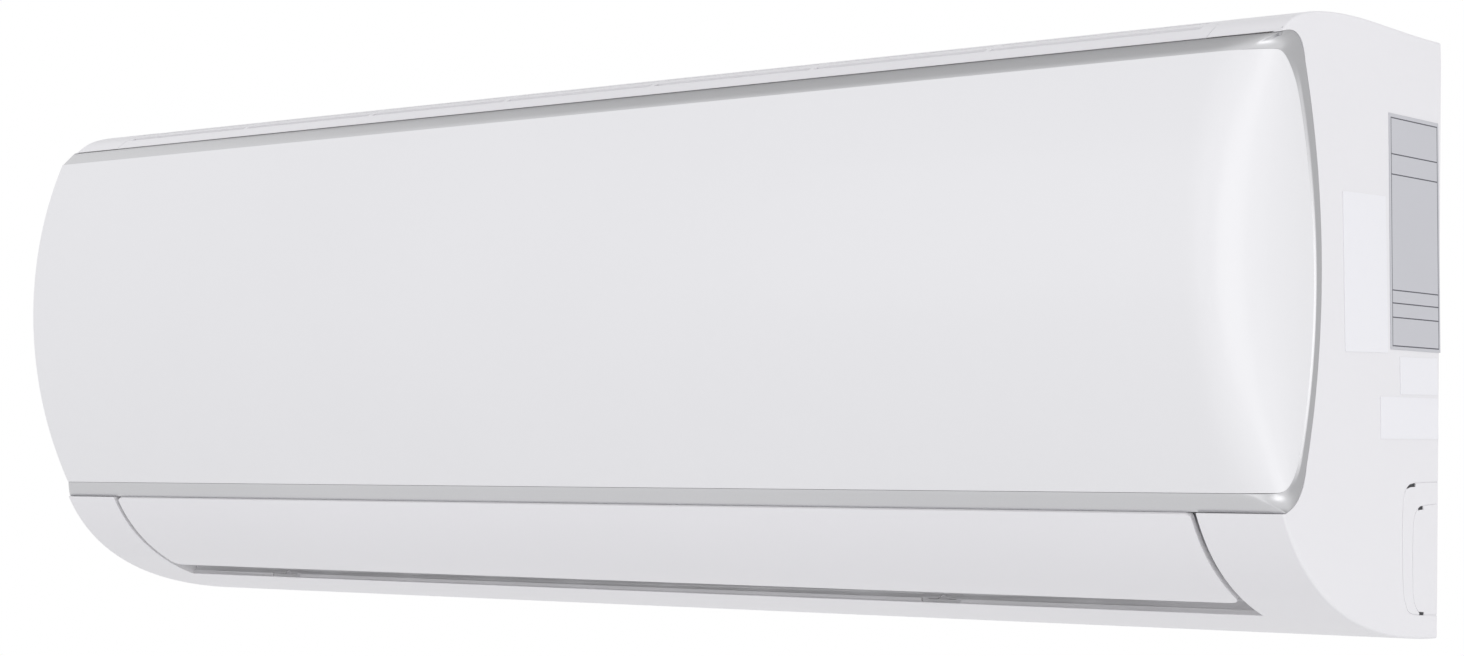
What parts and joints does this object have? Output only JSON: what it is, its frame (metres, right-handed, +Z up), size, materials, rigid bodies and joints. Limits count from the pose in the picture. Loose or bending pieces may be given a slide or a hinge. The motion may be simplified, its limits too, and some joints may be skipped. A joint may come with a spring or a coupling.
{
  "type": "wall-mounted air conditioner",
  "caption": "Indoor unit of a wall-mounted split air conditioner, with a lifting front panel, an outlet flap, steering vanes, dust filters and a cross-flow fan.",
  "frame": {"origin": "on the wall, behind the middle of the unit's length and height", "axes": "+X along the unit, towards the end with the controls and the rating plate; +Y into the wall; +Z up"},
  "size_m": [0.8053, 0.1979, 0.2845],
  "materials": {
    "white_plastic": "fine satin moulded plastic",
    "gloss_white": "polished moulded plastic",
    "silver_trim": "silver lacquer on plastic",
    "grey_plastic": "plain moulded plastic",
    "black_plastic": "plain moulded plastic and rubber",
    "zinc_steel": "zinc-plated sheet steel",
    "fin_aluminium": "thin closely set sheets",
    "copper": "drawn copper tube",
    "brass": "turned and milled",
    "circuit_board": "green solder resist",
    "label_film": "silver-grey printed film",
    "white_label": "white film"
  },
  "bodies": {
    "housing": {"wall_plate": "zinc_steel", "rear_chassis": "white_plastic", "front_casing": "white_plastic", "top_grille": "white_plastic", "flap_motor": "zinc_steel", "screw_cover_left": "white_plastic", "screw_cover_right": "white_plastic", "casing_screw_left": "zinc_steel", "casing_screw_right": "zinc_steel", "fan_bearing": "black_plastic", "fan_motor": "grey_plastic", "motor_strap": "white_plastic", "fins_front_lower": "fin_aluminium", "fins_front_upper": "fin_aluminium", "fins_rear": "fin_aluminium", "coil_end_left": "fin_aluminium", "coil_end_right": "fin_aluminium", "gas_pipe": "copper", "liquid_pipe": "copper", "gas_flare_nut": "brass", "liquid_flare_nut": "brass", "pipe_clamp": "white_plastic", "drain_pan": "white_plastic", "control_box": "white_plastic", "control_box_cover": "zinc_steel", "main_board": "circuit_board", "terminal_block": "black_plastic", "receiver_board": "circuit_board", "rating_plate": "label_film", "sticker_large": "white_label", "sticker_upper": "white_label", "sticker_lower": "white_label"},
    "panel": {"front_panel": "gloss_white", "panel_trim": "silver_trim"},
    "flap": {"outlet_flap": "white_plastic"},
    "fan": {"cross_flow_fan": "grey_plastic", "fan_stub_shaft": "zinc_steel", "motor_shaft": "zinc_steel"},
    "left_filter": {"filter_left": "grey_plastic"},
    "right_filter": {"filter_right": "grey_plastic"},
    "vane_1_body": {"vane_1": "white_plastic"},
    "vane_2_body": {"vane_2": "white_plastic"},
    "vane_3_body": {"vane_3": "white_plastic"},
    "vane_4_body": {"vane_4": "white_plastic"},
    "vane_5_body": {"vane_5": "white_plastic"},
    "vane_6_body": {"vane_6": "white_plastic"},
    "vane_7_body": {"vane_7": "white_plastic"},
    "vane_8_body": {"vane_8": "white_plastic"},
    "vane_9_body": {"vane_9": "white_plastic"},
    "vane_10_body": {"vane_10": "white_plastic"},
    "left_link": {"link_bar_left": "white_plastic"},
    "right_link": {"link_bar_right": "white_plastic"},
    "button": {"run_button": "grey_plastic"}
  },
  "joints": [
    {"name": "panel_lift", "type": "hinge", "parent": "housing", "child": "panel", "pos_m": [0, -0.166, 0.118], "axis": [-1, 0, 0], "range_deg": [0, 60]},
    {"name": "flap_swing", "type": "hinge", "parent": "housing", "child": "flap", "pos_m": [0, -0.134, -0.106], "axis": [1, 0, 0], "range_deg": [0, 75]},
    {"name": "fan_spin", "type": "hinge", "parent": "housing", "child": "fan", "pos_m": [0, -0.08, -0.036], "axis": [1, 0, 0], "continuous": true},
    {"name": "left_filter_slide", "type": "hinge", "parent": "housing", "child": "left_filter", "pos_m": [0, -0.056, 0.008], "axis": [-1, 0, 0], "range_deg": [0, 5]},
    {"name": "right_filter_slide", "type": "hinge", "parent": "housing", "child": "right_filter", "pos_m": [0, -0.056, 0.008], "axis": [-1, 0, 0], "range_deg": [0, 5]},
    {"name": "vane_1_turn", "type": "hinge", "parent": "housing", "child": "vane_1_body", "pos_m": [-0.30975, -0.102, -0.1192], "axis": [0, 0, 1], "range_deg": [-25, 25]},
    {"name": "vane_2_turn", "type": "hinge", "parent": "housing", "child": "vane_2_body", "pos_m": [-0.24575, -0.102, -0.1192], "axis": [0, 0, 1], "range_deg": [-25, 25]},
    {"name": "vane_3_turn", "type": "hinge", "parent": "housing", "child": "vane_3_body", "pos_m": [-0.18175, -0.102, -0.1192], "axis": [0, 0, 1], "range_deg": [-25, 25]},
    {"name": "vane_4_turn", "type": "hinge", "parent": "housing", "child": "vane_4_body", "pos_m": [-0.11775, -0.102, -0.1192], "axis": [0, 0, 1], "range_deg": [-25, 25]},
    {"name": "vane_5_turn", "type": "hinge", "parent": "housing", "child": "vane_5_body", "pos_m": [-0.05375, -0.102, -0.1192], "axis": [0, 0, 1], "range_deg": [-25, 25]},
    {"name": "vane_6_turn", "type": "hinge", "parent": "housing", "child": "vane_6_body", "pos_m": [0.01025, -0.102, -0.1192], "axis": [0, 0, 1], "range_deg": [-25, 25]},
    {"name": "vane_7_turn", "type": "hinge", "parent": "housing", "child": "vane_7_body", "pos_m": [0.07425, -0.102, -0.1192], "axis": [0, 0, 1], "range_deg": [-25, 25]},
    {"name": "vane_8_turn", "type": "hinge", "parent": "housing", "child": "vane_8_body", "pos_m": [0.13825, -0.102, -0.1192], "axis": [0, 0, 1], "range_deg": [-25, 25]},
    {"name": "vane_9_turn", "type": "hinge", "parent": "housing", "child": "vane_9_body", "pos_m": [0.20225, -0.102, -0.1192], "axis": [0, 0, 1], "range_deg": [-25, 25]},
    {"name": "vane_10_turn", "type": "hinge", "parent": "housing", "child": "vane_10_body", "pos_m": [0.26625, -0.102, -0.1192], "axis": [0, 0, 1], "range_deg": [-25, 25]},
    {"name": "left_link_slide", "type": "slide", "parent": "housing", "child": "left_link", "axis": [1, 0, 0], "range_m": [-0.0048, 0.0048]},
    {"name": "right_link_slide", "type": "slide", "parent": "housing", "child": "right_link", "axis": [1, 0, 0], "range_m": [-0.0048, 0.0048]},
    {"name": "button_press", "type": "slide", "parent": "housing", "child": "button", "axis": [0, 1, 0], "range_m": [0, 0.0015], "stiffness_N_per_m": 300, "springref_m": -0.0005}
  ],
  "couplings": [
    {"joint": "vane_1_turn", "follows": "left_link_slide", "rad_per_m": -90.9},
    {"joint": "vane_2_turn", "follows": "left_link_slide", "rad_per_m": -90.9},
    {"joint": "vane_3_turn", "follows": "left_link_slide", "rad_per_m": -90.9},
    {"joint": "vane_4_turn", "follows": "left_link_slide", "rad_per_m": -90.9},
    {"joint": "vane_5_turn", "follows": "left_link_slide", "rad_per_m": -90.9},
    {"joint": "vane_6_turn", "follows": "right_link_slide", "rad_per_m": -90.9},
    {"joint": "vane_7_turn", "follows": "right_link_slide", "rad_per_m": -90.9},
    {"joint": "vane_8_turn", "follows": "right_link_slide", "rad_per_m": -90.9},
    {"joint": "vane_9_turn", "follows": "right_link_slide", "rad_per_m": -90.9},
    {"joint": "vane_10_turn", "follows": "right_link_slide", "rad_per_m": -90.9}
  ]
}
